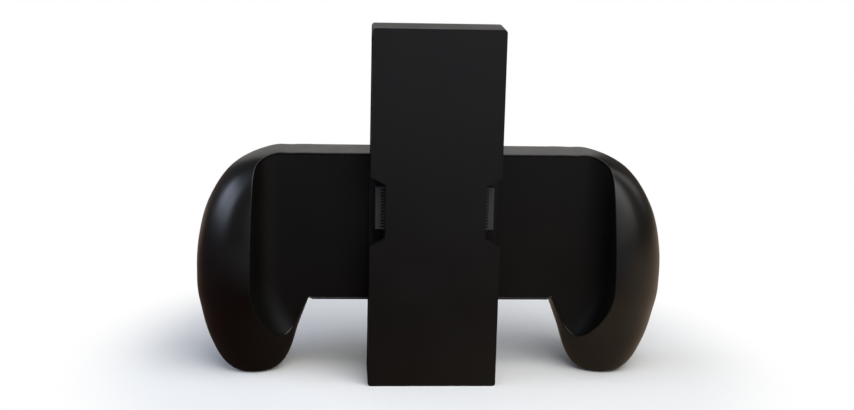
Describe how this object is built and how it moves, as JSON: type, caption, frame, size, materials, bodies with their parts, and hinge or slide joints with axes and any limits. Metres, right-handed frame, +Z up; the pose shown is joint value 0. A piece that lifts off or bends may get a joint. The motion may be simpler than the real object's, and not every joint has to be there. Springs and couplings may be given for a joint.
{
  "type": "half-controller grip",
  "caption": "Desk grip that joins two detachable half controllers: upright column with magnetic side channels and connector tabs, cupped wings and two handles.",
  "frame": {"origin": "on the ground, in the middle of the grip's width and depth", "axes": "+Z up, +X to the right seen from the front, the column's front faces -Y"},
  "size_m": [0.1534, 0.0414, 0.116],
  "materials": {
    "column_plastic": "fine matte texture",
    "panel_plastic": "fine matte texture",
    "shell_plastic": "satin",
    "button_plastic": "satin",
    "liner_plastic": "smooth matte",
    "connector_plastic": "smooth matte",
    "tab_plastic": "smooth matte",
    "contact_metal": "gold plated",
    "magnet_nickel": "nickel plated",
    "yoke_steel": "zinc plated",
    "socket_steel": "plated",
    "dome_steel": "plated",
    "screw_steel": "dark plated",
    "circuit_board": "solder mask",
    "chip": "moulded",
    "ribbon": "polyimide film"
  },
  "bodies": {
    "base": {"column_front_cover": "column_plastic", "column_housing": "column_plastic", "front_panel": "panel_plastic", "front_shell": "shell_plastic", "rear_shell": "shell_plastic", "main_board": "circuit_board", "charging_socket": "socket_steel", "controller_chip": "chip", "charging_chip": "chip", "shell_screws": "screw_steel", "board_screws": "screw_steel", "column_screws": "screw_steel", "button_board_screws": "screw_steel", "right_channel_liner": "liner_plastic", "upper_right_magnet": "magnet_nickel", "lower_right_magnet": "magnet_nickel", "right_magnet_yoke": "yoke_steel", "right_connector_frame": "connector_plastic", "right_connector_board": "circuit_board", "right_connector_ribbon": "ribbon", "right_ribbon_socket": "connector_plastic", "right_button_dome": "dome_steel", "right_button_board": "circuit_board", "right_cable_socket": "connector_plastic", "right_button_cable": "ribbon", "left_channel_liner": "liner_plastic", "upper_left_magnet": "magnet_nickel", "lower_left_magnet": "magnet_nickel", "left_magnet_yoke": "yoke_steel", "left_connector_frame": "connector_plastic", "left_connector_board": "circuit_board", "left_connector_ribbon": "ribbon", "left_ribbon_socket": "connector_plastic", "left_button_dome": "dome_steel", "left_button_board": "circuit_board", "left_cable_socket": "connector_plastic", "left_button_cable": "ribbon"},
    "right_connector": {"right_connector_tab": "tab_plastic", "right_connector_contacts": "contact_metal"},
    "left_connector": {"left_connector_tab": "tab_plastic", "left_connector_contacts": "contact_metal"},
    "right_button": {"right_rear_button": "button_plastic"},
    "left_button": {"left_rear_button": "button_plastic"}
  },
  "joints": [
    {"name": "right_rear_button_press", "type": "slide", "parent": "base", "child": "right_button", "axis": [0, -1, 0], "range_m": [0, 0.0009], "stiffness_N_per_m": 900, "deforming": ["right_button_dome"]},
    {"name": "right_connector_float", "type": "slide", "parent": "base", "child": "right_connector", "axis": [0, 0, 1], "range_m": [-0.0003, 0.0003], "stiffness_N_per_m": 250},
    {"name": "left_rear_button_press", "type": "slide", "parent": "base", "child": "left_button", "axis": [0, -1, 0], "range_m": [0, 0.0009], "stiffness_N_per_m": 900, "deforming": ["left_button_dome"]},
    {"name": "left_connector_float", "type": "slide", "parent": "base", "child": "left_connector", "axis": [0, 0, 1], "range_m": [-0.0003, 0.0003], "stiffness_N_per_m": 250}
  ]
}
